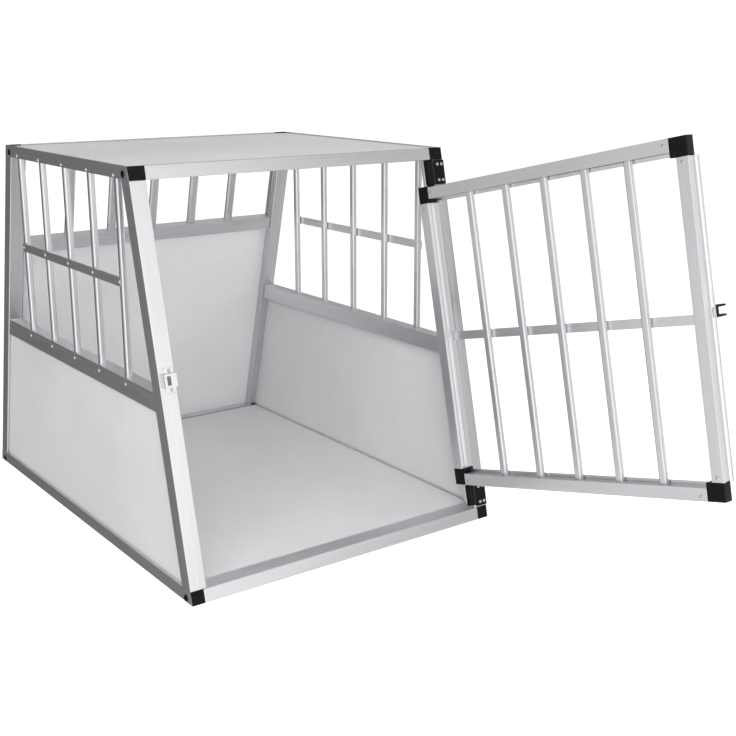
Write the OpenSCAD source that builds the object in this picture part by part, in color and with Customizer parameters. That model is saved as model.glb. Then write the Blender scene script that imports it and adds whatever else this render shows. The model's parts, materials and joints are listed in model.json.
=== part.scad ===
/* [Crate] */
// Width of the crate across the front
crate_w = 650; // [560:5:780]
// Depth of the crate at the floor
crate_d = 900; // [750:5:1080]
// Height of the crate
crate_h = 705; // [600:5:846]
// How far the front leans back over its height
front_setback = 162; // [130:1:195]
// How far the rear leans forward over its height
rear_setback = 186; // [150:1:224]

/* [Frame profiles] */
// Side of the square corner posts
post = 30; // [26:0.5:36]
// Width of the long bottom rails
low_rail_w = 24; // [21:0.5:28]
// Height of the bottom rails
low_rail_h = 23.5; // [20:0.5:28]
// Height of the top rails
top_rail_h = 22.5; // [20:0.5:27]
// Depth of the front and rear bottom rails
cross_rail_d = 33; // [28:0.5:39]
// Height of the mid rails on the sides
mid_rail_h = 32.5; // [27:0.5:39]
// Height of the mid rail at the rear
rear_mid_h = 27; // [23:0.5:32]
// Top of the side mid rails above the floor
mid_rail_z = 342; // [290:1:400]
// Top of the rear mid rail, measured up the slope
rear_mid_s = 533; // [450:1:560]
// Wall of the hollow profiles
wall = 1.8; // [1.5:0.1:2.2]
// Depth of the small grooves drawn along the profiles
groove = 0.8; // [0.4:0.1:1.2]

/* [Boards] */
// Thickness of the side and rear boards
board_t = 6; // [4:0.5:7]
// Thickness of the floor board
floor_t = 6; // [4:0.5:9]
// Thickness of the roof board
roof_t = 5; // [3:0.5:6]
// Thickness of the lip round the roof board
lip = 4; // [2.5:0.5:5]

/* [Bars] */
// Width of the side bars
side_bar_w = 13; // [10:0.5:16]
// Width of the rear bars
rear_bar_w = 18; // [14:0.5:22]
// Width of the door bars
door_bar_w = 14; // [11:0.5:17]
// Thickness of all bars
bar_t = 11; // [9:0.5:12]
// First side bar from the end of the top rail
side_end_gap = 56; // [46:1:68]
// First rear bar from the post
rear_end_gap = 104; // [85:1:125]
// First door bar from the edge of the door
door_end_gap = 118; // [98:1:140]
// Height of the flat cross strips
strip_h = 16; // [13:0.5:19]
// Thickness of the flat cross strips
strip_t = 2.6; // [2:0.1:3]
// Middle of the side strips above the floor
side_strip_z = 509.5; // [430:0.5:560]

/* [Door] */
// Gap between the door and each post
door_gap = 3; // [2.5:0.1:3.6]
// Bottom of the door, up the slope
door_s0 = 80; // [78:0.5:88]
// Gap kept above the door for the upper hinge
door_top_gap = 76; // [74:0.5:90]
// Thickness of the door frame
door_t = 28; // [25:0.5:32]
// Face width of the door stiles
stile_w = 21.5; // [20:0.5:25]
// Face height of the door rails
door_rail_h = 22; // [20:0.5:27]
// How far the closed door stands proud of the posts
door_proud = 15.5; // [13:0.5:17]
// How far open the door stands
door_open = 95.9; // [0:0.1:180]
// Middle of the door strip, up the slope
door_strip_s = 365; // [300:1:420]
// Height of a door corner
corner_s = 31; // [26:0.5:36]
// Width of a door corner on the free side
corner_u = 32; // [27:0.5:38]
// Width of a door corner on the hinge side
hinge_corner_u = 25; // [24:0.5:30]

/* [Hinges] */
// Hinge axis from the hinge edge of the door
pivot_inset = 12; // [11:0.5:13]
// Hinge axis behind the outer face of the door
pivot_depth = 4; // [3:0.5:6]
// Height of a hinge block
hinge_h = 46; // [40:0.5:50]
// Radius of a hinge pin
pin_r = 3; // [2.5:0.1:3.5]
// Radial clearance of the pin in the door corner
pin_clear = 0.07; // [0.03:0.01:0.1]

/* [Latch] */
// Middle of the latch, up the slope
latch_s = 375; // [310:1:440]
// Travel of the bolt
bolt_travel = 12; // [10:0.5:12]
// Height of the bolt
bolt_h = 14; // [11:0.5:16]
// Thickness of the bolt
bolt_t = 4; // [3:0.5:5]

/* [Hidden] */
$fn = 32;

front_y = -cross_rail_d / 2;           // the origin lies under the middle of the front bottom rail
rear_y = front_y + crate_d;
lean_f = atan(front_setback / crate_h);
lean_r = atan(rear_setback / crate_h);
front_len = sqrt(crate_h * crate_h + front_setback * front_setback);
rear_len = sqrt(crate_h * crate_h + rear_setback * rear_setback);
top_z = crate_h - top_rail_h;          // underside of the top rails
roof_ledge_z = crate_h - 7.5;          // where the roof board rests
floor_ledge_z = 14;                    // where the floor board rests
upstand = 13.5;                        // thickness of the bottom rail beside the floor board
slot = 0.2;                            // clearance of a board or key in its groove
board_x = 4.7;                         // outer face of a board behind the outer face of its side
board_in = 7.6;                        // how far a board runs into a post or rail
bar_x = 3;                             // outer face of a bar behind the outer face of its side
bar_r = 3.5;                           // rounding of a bar
bar_in = 9;                            // how far a bar runs into a rail
bar_play = 0.15;                       // clearance round a bar in its hole
cap_t = 1.5;                           // flange of an end cap
key_len = 34;                          // length of a corner key
bolt_depth = 20.5;                     // corner bolt behind the front or rear plane
bolt_r = 2.5;                          // shank of the corner bolts and frame screws
bolt_hole = 0.15;                      // their clearance
head_t = 1.2;                          // height of the low heads
low_bolt_z = 7.2;                      // height of the low corner bolts
screw_x = 16.2;                        // upright frame screws, from the outer face
screw_depth = 13;                      // and behind the front or rear plane
screw_reach = 10;                      // how far they reach into a post
strip_over = 4.5;                      // side strip beyond the outer bars
post_lines = [8, 15, 22];              // fine lines along a post, behind the front plane
line_w = 1.2;                          // their width
line_shift = 8;                        // the rear posts carry theirs further in
key_x1 = post - board_in - 2;          // inner side of the post keys, clear of the boards
spigot_end = 7.5;                      // how far the end caps' plugs reach in
high_bolt_z = crate_h - 13.5;
rivet_r = 1.6;
rivet_head_r = 3.3;
side_mid = mid_rail_z - mid_rail_h;    // underside of a side mid rail
big = 2000;

door_x1 = crate_w / 2 - post - door_gap;            // hinge edge of the closed door
door_w = crate_w - 2 * post - 2 * door_gap;
door_s1 = front_len - door_top_gap;
door_n0 = door_proud - door_t;                      // inner face of the closed door
pivot_x = door_x1 - pivot_inset;
pivot_n = door_proud - pivot_depth;
corner_top = door_s1 + 2;                           // the upper hinge corner stands 2 above its rail
hinge_gap_top = 4;
hinge_up_s = corner_top + hinge_gap_top;            // underside of the upper hinge block
hinge_low_s = door_s0 - 7 - hinge_h;                // underside of the lower hinge block
hinge_screw_ds = 15;                                // half the height of the screw pattern
hinge_screw_dx = 5;                                 // half its width
hinge_plate_x0 = crate_w / 2 - post + 5;
hinge_plate_x1 = crate_w / 2 - 2;
hinge_plate_t = 5.5;
boss_r = 9;
barrel_short = 8;                                   // the lower barrel ends above the foot of its plate
door_bar_n = door_n0 + 8;                           // inner face of the door bars
door_strip_n = door_bar_n + bar_t;
edge_r = 8;                                         // rounding of the outer corner of the door sections
nose_w = 4.6;                                       // bull-nose beyond the free edge, clear of the keeper
nose_r = 6.7;
free_corner_t = 24;                                 // the free corners are thinner than the stile
cove_r = 14.5;                                      // shallow cove in a stile's side to the opening
cove_deep = 1.4;
cove_mid = 7.6;
lip_h = 6;                                          // lip of a door rail, behind the ends of the bars
lip_t = 2;
lip_n = 8 + bar_t + 0.3;
spigot_len = 22;                                    // how far a corner's spigots reach in
run = 0.35;                                         // room round the sliding bolt
bolt_n = door_n0 + 17;
bolt_u0 = door_w - stile_w + wall + cove_deep + 0.5; // retracted bolt, clear of the stile's inner wall
bolt_u1 = door_w + nose_w - 0.3;                    // its end, level with the bull-nose
stalk_w = 4;
stalk_u = door_w - 19;
stalk_end = stalk_u + stalk_w + bolt_travel + 0.6;  // end of the slot the stalk slides in
housing_t = 4.5;
housing_u0 = door_w - 26;
housing_u1 = door_w - 1.5;
housing_h = 42;
pull_u0 = door_w - 13;
pull_u1 = door_w;
pull_h = 19;
pull_base = 6;
pull_arm = 21;
pull_wall = 3.4;
keeper_x0 = -crate_w / 2 + 5;
keeper_x1 = -crate_w / 2 + 28;
keeper_top = bolt_n + bolt_t + 0.6;                 // underside of the keeper's bridge
keeper_wall = 2;
keeper_h = bolt_h + 9;

// Distance along Y of the front plane at height z, moved in by d
function y_front(z, d = 0) = front_y + z * tan(lean_f) + d / cos(lean_f);
// The same for the rear plane
function y_rear(z, d = 0) = rear_y - z * tan(lean_r) - d / cos(lean_r);
// Middles of n bars spread between two end gaps
function spread(from, to, gap, n = 5) = [for (i = [0:n - 1]) from + gap + i * (to - from - 2 * gap) / (n - 1)];

side_bar_ys = spread(y_front(crate_h), y_rear(crate_h), side_end_gap);
rear_bar_xs = spread(-crate_w / 2 + post, crate_w / 2 - post, rear_end_gap);
door_bar_us = spread(0, door_w, door_end_gap);
rear_board_s = rear_mid_s - rear_mid_h + 4;         // top of the rear board, up the slope
rear_bar_s0 = rear_board_s + (board_x + board_t) * tan(lean_r) + 1; // bars clear of the board's level top
rear_bar_s1 = (top_z + bar_in) / cos(lean_r);
side_bar_z0 = mid_rail_z - 20;
side_bar_z1 = top_z + bar_in;

// Front frame: x across, y up the slope, z out of the crate
module on_front() translate([0, front_y, 0]) rotate([90 - lean_f, 0, 0]) children();
// Rear frame: x across, y up the slope, z into the crate
module on_rear() translate([0, rear_y, 0]) rotate([90 + lean_r, 0, 0]) children();
// Side frames: x from the outer face into the crate
module on_left() translate([-crate_w / 2, 0, 0]) children();
module on_right() translate([crate_w / 2, 0, 0]) mirror([1, 0, 0]) children();
// Door frame: x across as when closed, turned open about the hinge axis
module on_door() on_front() translate([pivot_x, 0, pivot_n]) rotate([0, door_open, 0])
  translate([-pivot_x, 0, -pivot_n]) children();
// Box on the door: u from the hinge edge, s up the slope, n out from the post face
module door_box(u0, u1, s0, s1, n0, n1)
  translate([door_x1 - u1, s0, n0]) cube([u1 - u0, s1 - s0, n1 - n0]);

// Prism across x whose ends follow the front and rear planes, moved in by df and dr
module wedge(x0, x1, z0, z1, df, dr)
  translate([x0, 0, 0]) rotate([90, 0, 90]) linear_extrude(x1 - x0)
    polygon([[y_front(z0, df), z0], [y_rear(z0, dr), z0], [y_rear(z1, dr), z1], [y_front(z1, df), z1]]);
// Slab along the front plane between depths d0 and d1
module front_slab(x0, x1, z0, z1, d0, d1)
  translate([x0, 0, 0]) rotate([90, 0, 90]) linear_extrude(x1 - x0)
    polygon([[y_front(z0, d0), z0], [y_front(z0, d1), z0], [y_front(z1, d1), z1], [y_front(z1, d0), z1]]);
// Slab along the rear plane between depths d0 and d1
module rear_slab(x0, x1, z0, z1, d0, d1)
  translate([x0, 0, 0]) rotate([90, 0, 90]) linear_extrude(x1 - x0)
    polygon([[y_rear(z0, d1), z0], [y_rear(z0, d0), z0], [y_rear(z1, d0), z1], [y_rear(z1, d1), z1]]);
// Slab along either plane
module end_slab(front, x0, x1, z0, z1, d0, d1) {
  if (front) front_slab(x0, x1, z0, z1, d0, d1);
  else rear_slab(x0, x1, z0, z1, d0, d1);
}

module rounded_rect(w, h, r) union() {
  square([w - 2 * r, h], center = true);
  square([w, h - 2 * r], center = true);
  for (x = [-1, 1], y = [-1, 1]) translate([x * (w / 2 - r), y * (h / 2 - r)]) circle(r);
}
// Hollow bar standing along Z, its middle on the axis
module bar(w, len) linear_extrude(len) difference() {
  rounded_rect(w, bar_t, bar_r);
  rounded_rect(w - 3, bar_t - 3, bar_r - 1.5);
}
module bar_hole(w, len) linear_extrude(len) rounded_rect(w + 2 * bar_play, bar_t + 2 * bar_play, bar_r);

// Places for the side bars, as seen in a side frame
module at_side_bars(z) for (y = side_bar_ys) translate([bar_x + bar_t / 2, y, z]) rotate([0, 0, 90]) children();
// Places for the rear bars, in the rear frame
module at_rear_bars(s) for (x = rear_bar_xs) translate([x, s, bar_x + bar_t / 2]) rotate([-90, 0, 0]) children();
// Places for the door bars, in the front frame
module at_door_bars(s) for (u = door_bar_us) translate([door_x1 - u, s, door_bar_n + bar_t / 2])
  rotate([-90, 0, 0]) children();

// Corner bolts, seen in a side frame: front and rear, low and high
module at_corner_bolts(extra = 0) {
  for (z = [low_bolt_z, high_bolt_z]) {
    translate([extra, y_front(z, bolt_depth), z]) rotate([0, 90, 0]) children();
    translate([extra, y_rear(z, bolt_depth), z]) rotate([0, 90, 0]) children();
  }
}
module corner_bolt_holes() at_corner_bolts(-5) cylinder(r = bolt_r + bolt_hole, h = 90);
// Upright screws that hold the posts to the rails, in a side frame
module at_frame_screws(z) {
  translate([screw_x, y_front(z, screw_depth), 0]) children();
  translate([screw_x, y_rear(z, screw_depth), 0]) children();
}

// Frame
function y_end(front, z, d) = front ? y_front(z, d) : y_rear(z, d);
// A section drawn in x and z, run along Y and cut off along the front and rear planes
module along_y() intersection() {
  translate([0, big, 0]) rotate([90, 0, 0]) linear_extrude(2 * big) children();
  wedge(-10, 60, -10, crate_h + 10, cap_t, cap_t);
}
// A section drawn in y and z, run along X
module along_x(x0, x1) translate([x0, 0, 0]) rotate([90, 0, 90]) linear_extrude(x1 - x0) children();

module side_rail_bottom() difference() {
  along_y() difference() {
    polygon([[0, 0], [low_rail_w, 0], [low_rail_w, floor_ledge_z], [upstand, floor_ledge_z],
      [upstand, low_rail_h], [0, low_rail_h]]);
    translate([wall, wall]) square([low_rail_w - 2 * wall, floor_ledge_z - 2 * wall]);
    translate([board_x - slot, floor_ledge_z]) square([board_t + 2 * slot, low_rail_h]);
  }
  corner_bolt_holes();
  at_frame_screws(low_bolt_z) translate([0, 0, -5]) cylinder(r = bolt_r + bolt_hole, h = 30);
}
module side_rail_top() difference() {
  along_y() difference() {
    polygon([[0, top_z], [post, top_z], [post, roof_ledge_z], [lip, roof_ledge_z], [lip, crate_h], [0, crate_h]]);
    translate([wall, top_z + wall]) square([post - 2 * wall, roof_ledge_z - top_z - 2 * wall]);
  }
  at_side_bars(top_z - 5) bar_hole(side_bar_w, bar_in + 6);
  corner_bolt_holes();
  at_frame_screws(high_bolt_z) translate([0, 0, top_z - 5]) cylinder(r = bolt_r + bolt_hole, h = 30);
  at_side_rivets(true);
}
module post_at(front, side_right) difference() {
  end_slab(front, 0, post, low_rail_h, top_z, 0, post);
  end_slab(front, wall, post - wall, low_rail_h - 5, top_z + 5, wall, post - wall);
  // groove for the side board
  end_slab(front, board_x - slot, board_x + board_t + slot, low_rail_h - 5, side_mid + board_in + 2,
    post - board_in - 1, post + 5);
  // groove for the rear board
  if (!front) end_slab(false, post - board_in - 1, post + 5, low_rail_h - 5, rear_mid_s * cos(lean_r),
    board_x - slot, board_x + board_t + slot);
  // fine lines along the face towards the opening
  for (d = post_lines) end_slab(front, post - groove, post + 1, low_rail_h - 5, top_z + 5,
    d - line_w / 2 + (front ? 0 : line_shift), d + line_w / 2 + (front ? 0 : line_shift));
}
module cross_rail_bottom(front) along_x(-crate_w / 2 + low_rail_w, crate_w / 2 - low_rail_w) difference() {
  polygon([[y_end(front, 0, 0), 0], [y_end(front, low_rail_h, 0), low_rail_h],
    [y_end(front, low_rail_h, cross_rail_d), low_rail_h],
    [y_end(front, floor_ledge_z, cross_rail_d), floor_ledge_z],
    [y_end(front, floor_ledge_z, cross_rail_d + 12), floor_ledge_z],
    [y_end(front, floor_ledge_z - 3, cross_rail_d + 12), floor_ledge_z - 3],
    [y_end(front, floor_ledge_z - 3, cross_rail_d), floor_ledge_z - 3],
    [y_end(front, 0, cross_rail_d), 0]]);
  // the cavity stays low enough to clear the board's groove
  for (z1 = [front ? low_rail_h - wall : floor_ledge_z - wall])
    polygon([[y_end(front, wall, wall), wall], [y_end(front, z1, wall), z1],
      [y_end(front, z1, cross_rail_d - wall), z1], [y_end(front, wall, cross_rail_d - wall), wall]]);
  if (!front) polygon([[y_rear(floor_ledge_z, board_x - slot), floor_ledge_z],
    [y_rear(crate_h, board_x - slot), crate_h], [y_rear(crate_h, board_x + board_t + slot), crate_h],
    [y_rear(floor_ledge_z, board_x + board_t + slot), floor_ledge_z]]);
}
module cross_rail_top(front) difference() {
  along_x(-crate_w / 2 + post, crate_w / 2 - post) difference() {
    polygon([[y_end(front, top_z, 0), top_z], [y_end(front, crate_h, 0), crate_h],
      [y_end(front, crate_h, lip), crate_h], [y_end(front, roof_ledge_z, lip), roof_ledge_z],
      [y_end(front, roof_ledge_z, post), roof_ledge_z], [y_end(front, top_z, post), top_z]]);
    for (z0 = [top_z + wall], z1 = [roof_ledge_z - wall])
      polygon([[y_end(front, z0, wall), z0], [y_end(front, z1, wall), z1],
        [y_end(front, z1, post - wall), z1], [y_end(front, z0, post - wall), z0]]);
  }
  if (!front) {
    on_rear() at_rear_bars(rear_bar_s0) bar_hole(rear_bar_w, rear_bar_s1 - rear_bar_s0 + 0.5);
    rear_rivet_holes();
  }
}
module mid_rail_side() difference() {
  wedge(1, 27, side_mid, mid_rail_z, post, post);
  wedge(1 + wall, 27 - wall, side_mid + wall, mid_rail_z - wall, -50, -50);
  wedge(board_x - slot, board_x + board_t + slot, side_mid - 5, side_mid + 5, -50, -50);
  at_side_bars(side_bar_z0) bar_hole(side_bar_w, 60);
  wedge(0, 1 + groove, mid_rail_z - 6.6, mid_rail_z - 5.4, -50, -50);
  at_side_rivets(true);
}
module mid_rail_back() difference() {
  on_rear() difference() {
    translate([-crate_w / 2 + post, rear_mid_s - rear_mid_h, 1]) cube([crate_w - 2 * post, rear_mid_h, 26]);
    translate([-big, rear_mid_s - rear_mid_h + wall, 1 + wall]) cube([2 * big, rear_mid_h - 2 * wall, 26 - 2 * wall]);
    translate([-big, rear_mid_s - rear_mid_h - 5, board_x - slot]) cube([2 * big, 10, board_t + 2 * slot]);
    at_rear_bars(rear_bar_s0) bar_hole(rear_bar_w, 60);
  }
  rear_rivet_holes();
}

// Boards
module floor_panel() wedge(-crate_w / 2 + 13.8, crate_w / 2 - 13.8, floor_ledge_z, floor_ledge_z + floor_t,
  cross_rail_d + 0.4, cross_rail_d + 0.4);
module roof_panel() wedge(-crate_w / 2 + lip + 0.3, crate_w / 2 - lip - 0.3, roof_ledge_z, roof_ledge_z + roof_t,
  lip + 0.3, lip + 0.3);
module side_panel() wedge(board_x, board_x + board_t, floor_ledge_z + 0.5, side_mid + board_in - 3,
  post - board_in + 0.3, post - board_in + 0.3);
module rear_panel() rear_slab(-crate_w / 2 + post - board_in + 0.3, crate_w / 2 - post + board_in - 0.3,
  floor_ledge_z + 0.5, rear_board_s * cos(lean_r), board_x, board_x + board_t);

// Bars and strips
module side_bars() difference() {
  at_side_bars(side_bar_z0) bar(side_bar_w, side_bar_z1 - side_bar_z0);
  at_side_rivets(true);
}
module rear_bars() difference() {
  on_rear() at_rear_bars(rear_bar_s0) bar(rear_bar_w, rear_bar_s1 - rear_bar_s0);
  rear_rivet_holes();
}
module side_strip() difference() {
  translate([bar_x - strip_t, side_bar_ys[0] - strip_over, side_strip_z - strip_h / 2])
    cube([strip_t, side_bar_ys[4] - side_bar_ys[0] + 2 * strip_over, strip_h]);
  at_side_rivets(true);
}

// Rivets
// A rivet along Z: head above z = 0, shank below
module rivet(hole) {
  if (hole) translate([0, 0, -8]) cylinder(r = rivet_r + 0.1, h = 16);
  else union() {
    translate([0, 0, -6]) cylinder(r = rivet_r, h = 6);
    intersection() {
      translate([0, 0, -3.6]) sphere(r = 5);
      cylinder(r = rivet_head_r, h = 3);
    }
  }
}
module at_side_rivets(hole) for (y = side_bar_ys) {
  translate([0, y, top_z + 4.6]) rotate([0, -90, 0]) rivet(hole);
  translate([bar_x - strip_t, y, side_strip_z]) rotate([0, -90, 0]) rivet(hole);
  translate([1, y, mid_rail_z - 11]) rotate([0, -90, 0]) rivet(hole);
}
module at_rear_rivets(hole) on_rear() for (x = rear_bar_xs) {
  translate([x, (top_z + 4.6) / cos(lean_r), 0]) rotate([180, 0, 0]) rivet(hole);
  translate([x, rear_mid_s - 11, 1]) rotate([180, 0, 0]) rivet(hole);
}
module rear_rivet_holes() at_rear_rivets(true);

// Corners
module end_cap_top(front) {
  end_slab(front, 0, post, top_z + 0.2, crate_h, 0, cap_t - 0.1);
  end_slab(front, lip + 0.2, post, roof_ledge_z + 0.1, crate_h, cap_t - 0.2, lip);
  end_slab(front, wall + slot, post - wall - slot, top_z + wall + slot, roof_ledge_z - wall - slot, cap_t - 0.2,
    spigot_end);
}
module end_cap_bottom(front) {
  end_slab(front, 0, low_rail_w - 0.1, 0.3, low_rail_h - 0.2, 0, cap_t - 0.1);
  end_slab(front, wall + slot, low_rail_w - wall - slot, wall + slot, floor_ledge_z - wall - slot, cap_t - 0.2,
    spigot_end);
}
// Keys that join the cross rails to the side rails, in a side frame
module rail_key(front, low) difference() {
  if (low) end_slab(front, low_rail_w + 0.2, low_rail_w + key_len, wall + slot, floor_ledge_z - wall - slot,
    12.5, cross_rail_d - wall - slot);
  else end_slab(front, post + 0.2, post + key_len, top_z + wall + slot, roof_ledge_z - wall - slot,
    wall + slot, post - wall - slot);
  corner_bolt_holes();
}
module corner_bolt() {
  cylinder(r = bolt_r, h = post + key_len - 4);
  translate([0, 0, -head_t]) cylinder(r = 6.2, h = head_t);
}
// Keys inside the ends of the posts
module post_key(front, low) difference() {
  end_slab(front, wall + slot + 10, key_x1, low ? low_rail_h + 0.2 : top_z - key_len,
    low ? low_rail_h + key_len : top_z - 0.2, 3.2, 26);
  at_frame_screws(low ? low_bolt_z : high_bolt_z) cylinder(r = bolt_r + bolt_hole, h = crate_h);
}
module frame_screw(low) {
  if (low) {
    translate([0, 0, wall + 0.2]) cylinder(r = 4, h = 2.4);
    translate([0, 0, wall + 0.4]) cylinder(r = bolt_r, h = low_rail_h + screw_reach);
  } else {
    translate([0, 0, roof_ledge_z - wall - 2.7]) cylinder(r = 4, h = 2.4);
    translate([0, 0, top_z - screw_reach])
      cylinder(r = bolt_r, h = roof_ledge_z - wall - 0.6 - top_z + screw_reach);
  }
}

// Hinges
module at_pivot(s) translate([pivot_x, s, pivot_n]) rotate([-90, 0, 0]) children();
module at_hinge_screws(s) for (ds = [-hinge_screw_ds, hinge_screw_ds], dx = [-hinge_screw_dx, hinge_screw_dx])
  translate([(hinge_plate_x0 + hinge_plate_x1) / 2 + dx, s + hinge_h / 2 + ds, hinge_plate_t]) children();
module hinge_block(s, short) on_front() difference() {
  union() {
    translate([hinge_plate_x0, s, 0]) cube([hinge_plate_x1 - hinge_plate_x0, hinge_h, hinge_plate_t]);
    translate([pivot_x, s + short + 1, 1]) cube([hinge_plate_x0 - pivot_x + 1, hinge_h - short - 2, 6]);
    at_pivot(s + short) cylinder(r = boss_r, h = hinge_h - short);
  }
  at_pivot(s - 1) cylinder(r = pin_r + 0.02, h = hinge_h + 2);
  at_hinge_screws(s) translate([0, 0, -10]) cylinder(r = 1.9, h = 20);
}
module pins() on_front() {
  at_pivot(corner_top - 24) cylinder(r = pin_r, h = 24 + hinge_gap_top + hinge_h - 3);
  at_pivot(hinge_low_s + barrel_short + 3) cylinder(r = pin_r, h = door_s0 - hinge_low_s - barrel_short - 3 + 24);
}
module bushes() on_front() for (span = [[corner_top + 0.3, hinge_up_s], [hinge_low_s + hinge_h, door_s0 - 0.3]])
  difference() {
    at_pivot(span[0]) cylinder(r = 7, h = span[1] - span[0]);
    at_pivot(span[0] - 1) cylinder(r = pin_r + 0.02, h = span[1] - span[0] + 2);
  }
// A countersunk screw along Z: face of the head at z = 0
module small_screw(r, head_r, len) {
  translate([0, 0, -len]) cylinder(r = r, h = len);
  cylinder(r = head_r, h = 1);
}

// Keeper on the left post
module keeper_plate() on_front() difference() {
  union() {
    translate([keeper_x0 + 4, latch_s - 21, 0]) cube([keeper_x1 - keeper_x0 - 4, 42, 1.5]);
    translate([keeper_x0, latch_s - keeper_h / 2, 0])
      cube([keeper_x1 - keeper_x0, keeper_h, keeper_top + keeper_wall]);
  }
  translate([keeper_x0 + keeper_wall, latch_s - keeper_h / 2 + keeper_wall, -1])
    cube([keeper_x1 - keeper_x0, keeper_h - 2 * keeper_wall, keeper_top + 1]);
  translate([keeper_x0 + 5, latch_s - 7.5, 0]) cube([6.5, 15, keeper_top + 10]);
  at_keeper_screws() translate([0, 0, -1]) cylinder(r = 1.9, h = 5);
}
module at_keeper_screws() for (ds = [-16, 16]) translate([keeper_x0 + 14, latch_s + ds, 0]) children();

// Door
// Section of the door frame: x over the face, y through the thickness. Its outer corner is rounded,
// or carries a bull-nose that stands in front of the post,
// and the side of a stile towards the opening has a cove and a fine groove. The opening is at x = w
module door_section(w, lip_h, nose) difference() {
  union() {
    square([w, door_t - edge_r]);
    translate([edge_r, 0]) square([w - edge_r, door_t]);
    translate([edge_r, door_t - edge_r]) circle(edge_r, $fn = 64);
    if (nose) {
      translate([nose_r - nose_w, door_t - nose_r]) circle(nose_r, $fn = 64);
      translate([nose_r - nose_w, door_t - 2 * nose_r]) square([edge_r + nose_w - nose_r, 2 * nose_r]);
    }
    if (lip_h > 0) translate([w - 1, lip_n]) square([lip_h + 1, lip_t]);
  }
  if (lip_h == 0) {
    translate([w + cove_r - cove_deep, cove_mid]) circle(cove_r, $fn = 96);
    translate([w - groove, cove_mid + 7.4]) square([groove + 1, 1]);
  }
  translate([wall, wall]) square([w - 2 * wall - cove_deep, door_t - edge_r - wall]);
  translate([edge_r, wall]) square([w - edge_r - wall - cove_deep, door_t - 2 * wall]);
}
// Stile from s0 to s1 with its free or hinge edge at u0
module stile(u0, s0, s1, hinge_side)
  translate([door_x1 - u0 - stile_w, s1, door_n0]) rotate([90, 0, 0]) linear_extrude(s1 - s0)
    translate([hinge_side ? stile_w : 0, 0]) mirror([hinge_side ? 1 : 0, 0]) door_section(stile_w, 0, !hinge_side);
module rail(s0, u0, u1, low)
  translate([door_x1 - u1, s0, door_n0]) rotate([90, 0, 90]) linear_extrude(u1 - u0)
    translate([low ? 0 : door_rail_h, 0]) mirror([low ? 0 : 1, 0]) door_section(door_rail_h, lip_h, false);
module door_top() difference() {
  on_door() rail(door_s1 - door_rail_h, hinge_corner_u + 0.05, door_w - corner_u - 0.05, false);
  on_door() at_door_bars(door_s1 - door_rail_h - 5) bar_hole(door_bar_w, 13);
  door_rivet_holes();
  door_screw_holes();
}
module door_bottom() difference() {
  on_door() rail(door_s0, hinge_corner_u + 0.05, door_w - corner_u - 0.05, true);
  on_door() at_door_bars(door_s0 + door_rail_h - 8) bar_hole(door_bar_w, 13);
  door_rivet_holes();
  door_screw_holes();
}
module door_hinge_stile() difference() {
  on_door() stile(0, door_s0 + corner_s + 0.05, corner_top - corner_s - 0.05, true);
  door_screw_holes();
}
module door_free_stile() difference() {
  on_door() difference() {
    stile(door_w - stile_w, door_s0 + corner_s + 0.05, door_s1 - corner_s - 0.05, false);
    door_box(door_w - 10, door_w + nose_w + 1, latch_s - bolt_h / 2 - run, latch_s + bolt_h / 2 + run,
      bolt_n - run, bolt_n + bolt_t + run);
    door_box(stalk_u - run, stalk_end, latch_s - 3 - run, latch_s + 3 + run, door_n0 + door_t - 12,
      door_n0 + door_t + 5);
    at_latch_screws() translate([0, 0, -12]) cylinder(r = 1.9, h = 14);
  }
  door_screw_holes();
}
// Solid corner piece with spigots for its rail and stile
module corner_block(u0, u1, s0, s1, free) {
  t = free ? free_corner_t : door_t;
  long = stile_w + 20;
  intersection() {
    door_box(u0, u1, s0, s1, door_n0, door_n0 + t);
    translate([door_x1 - (free ? door_w - long : 0) - long, s1 + 1, door_n0]) rotate([90, 0, 0])
      linear_extrude(s1 - s0 + 2) union() {
        square([long, t - edge_r]);
        translate([free ? edge_r : 0, 0]) square([long - edge_r, t]);
        translate([free ? edge_r : long - edge_r, t - edge_r]) circle(edge_r, $fn = 64);
      }
  }
}
module corner_spigots(free, top) {
  gap = wall + slot;
  inner = gap + cove_deep;
  n0 = door_n0 + gap;
  n1 = door_n0 + (free ? free_corner_t : door_t) - edge_r - gap;
  // into the stile
  su = free ? door_w - stile_w + inner : gap;
  end_s = top ? (free ? door_s1 : corner_top) - corner_s : door_s0 + corner_s;
  door_box(su, su + stile_w - gap - inner, end_s - (top ? spigot_len : 1), end_s + (top ? 1 : spigot_len), n0, n1);
  // into the rail
  rs = top ? door_s1 - door_rail_h + inner : door_s0 + gap;
  end_u = free ? door_w - corner_u : hinge_corner_u;
  door_box(end_u - (free ? spigot_len : 1), end_u + (free ? 1 : spigot_len), rs, rs + door_rail_h - gap - inner,
    n0, n1);
}
module door_corner(free, top) difference() {
  s0 = top ? (free ? door_s1 : corner_top) - corner_s : door_s0;
  u0 = free ? door_w - corner_u : 0;
  on_door() union() {
    corner_block(u0, free ? door_w : hinge_corner_u, s0, s0 + corner_s, free);
    corner_spigots(free, top);
    if (!free) at_pivot(s0) cylinder(r = 8, h = corner_s);
  }
  if (!free) on_door() at_pivot(top ? s0 + corner_s - 25 : s0 - 1) cylinder(r = pin_r + pin_clear, h = 26);
  door_screw_holes();
}
module door_bar_set() difference() {
  on_door() at_door_bars(door_s0 + door_rail_h - 7) bar(door_bar_w, door_s1 - door_s0 - 2 * door_rail_h + 14);
  door_rivet_holes();
}
module cross_strip() difference() {
  on_door() door_box(stile_w + 0.1, door_w - stile_w - 0.1, door_strip_s - strip_h / 2, door_strip_s + strip_h / 2,
    door_strip_n, door_strip_n + strip_t);
  door_rivet_holes();
}
module at_door_rivets(hole) on_door() for (u = door_bar_us)
  translate([door_x1 - u, door_strip_s, door_strip_n + strip_t]) rivet(hole);
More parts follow.
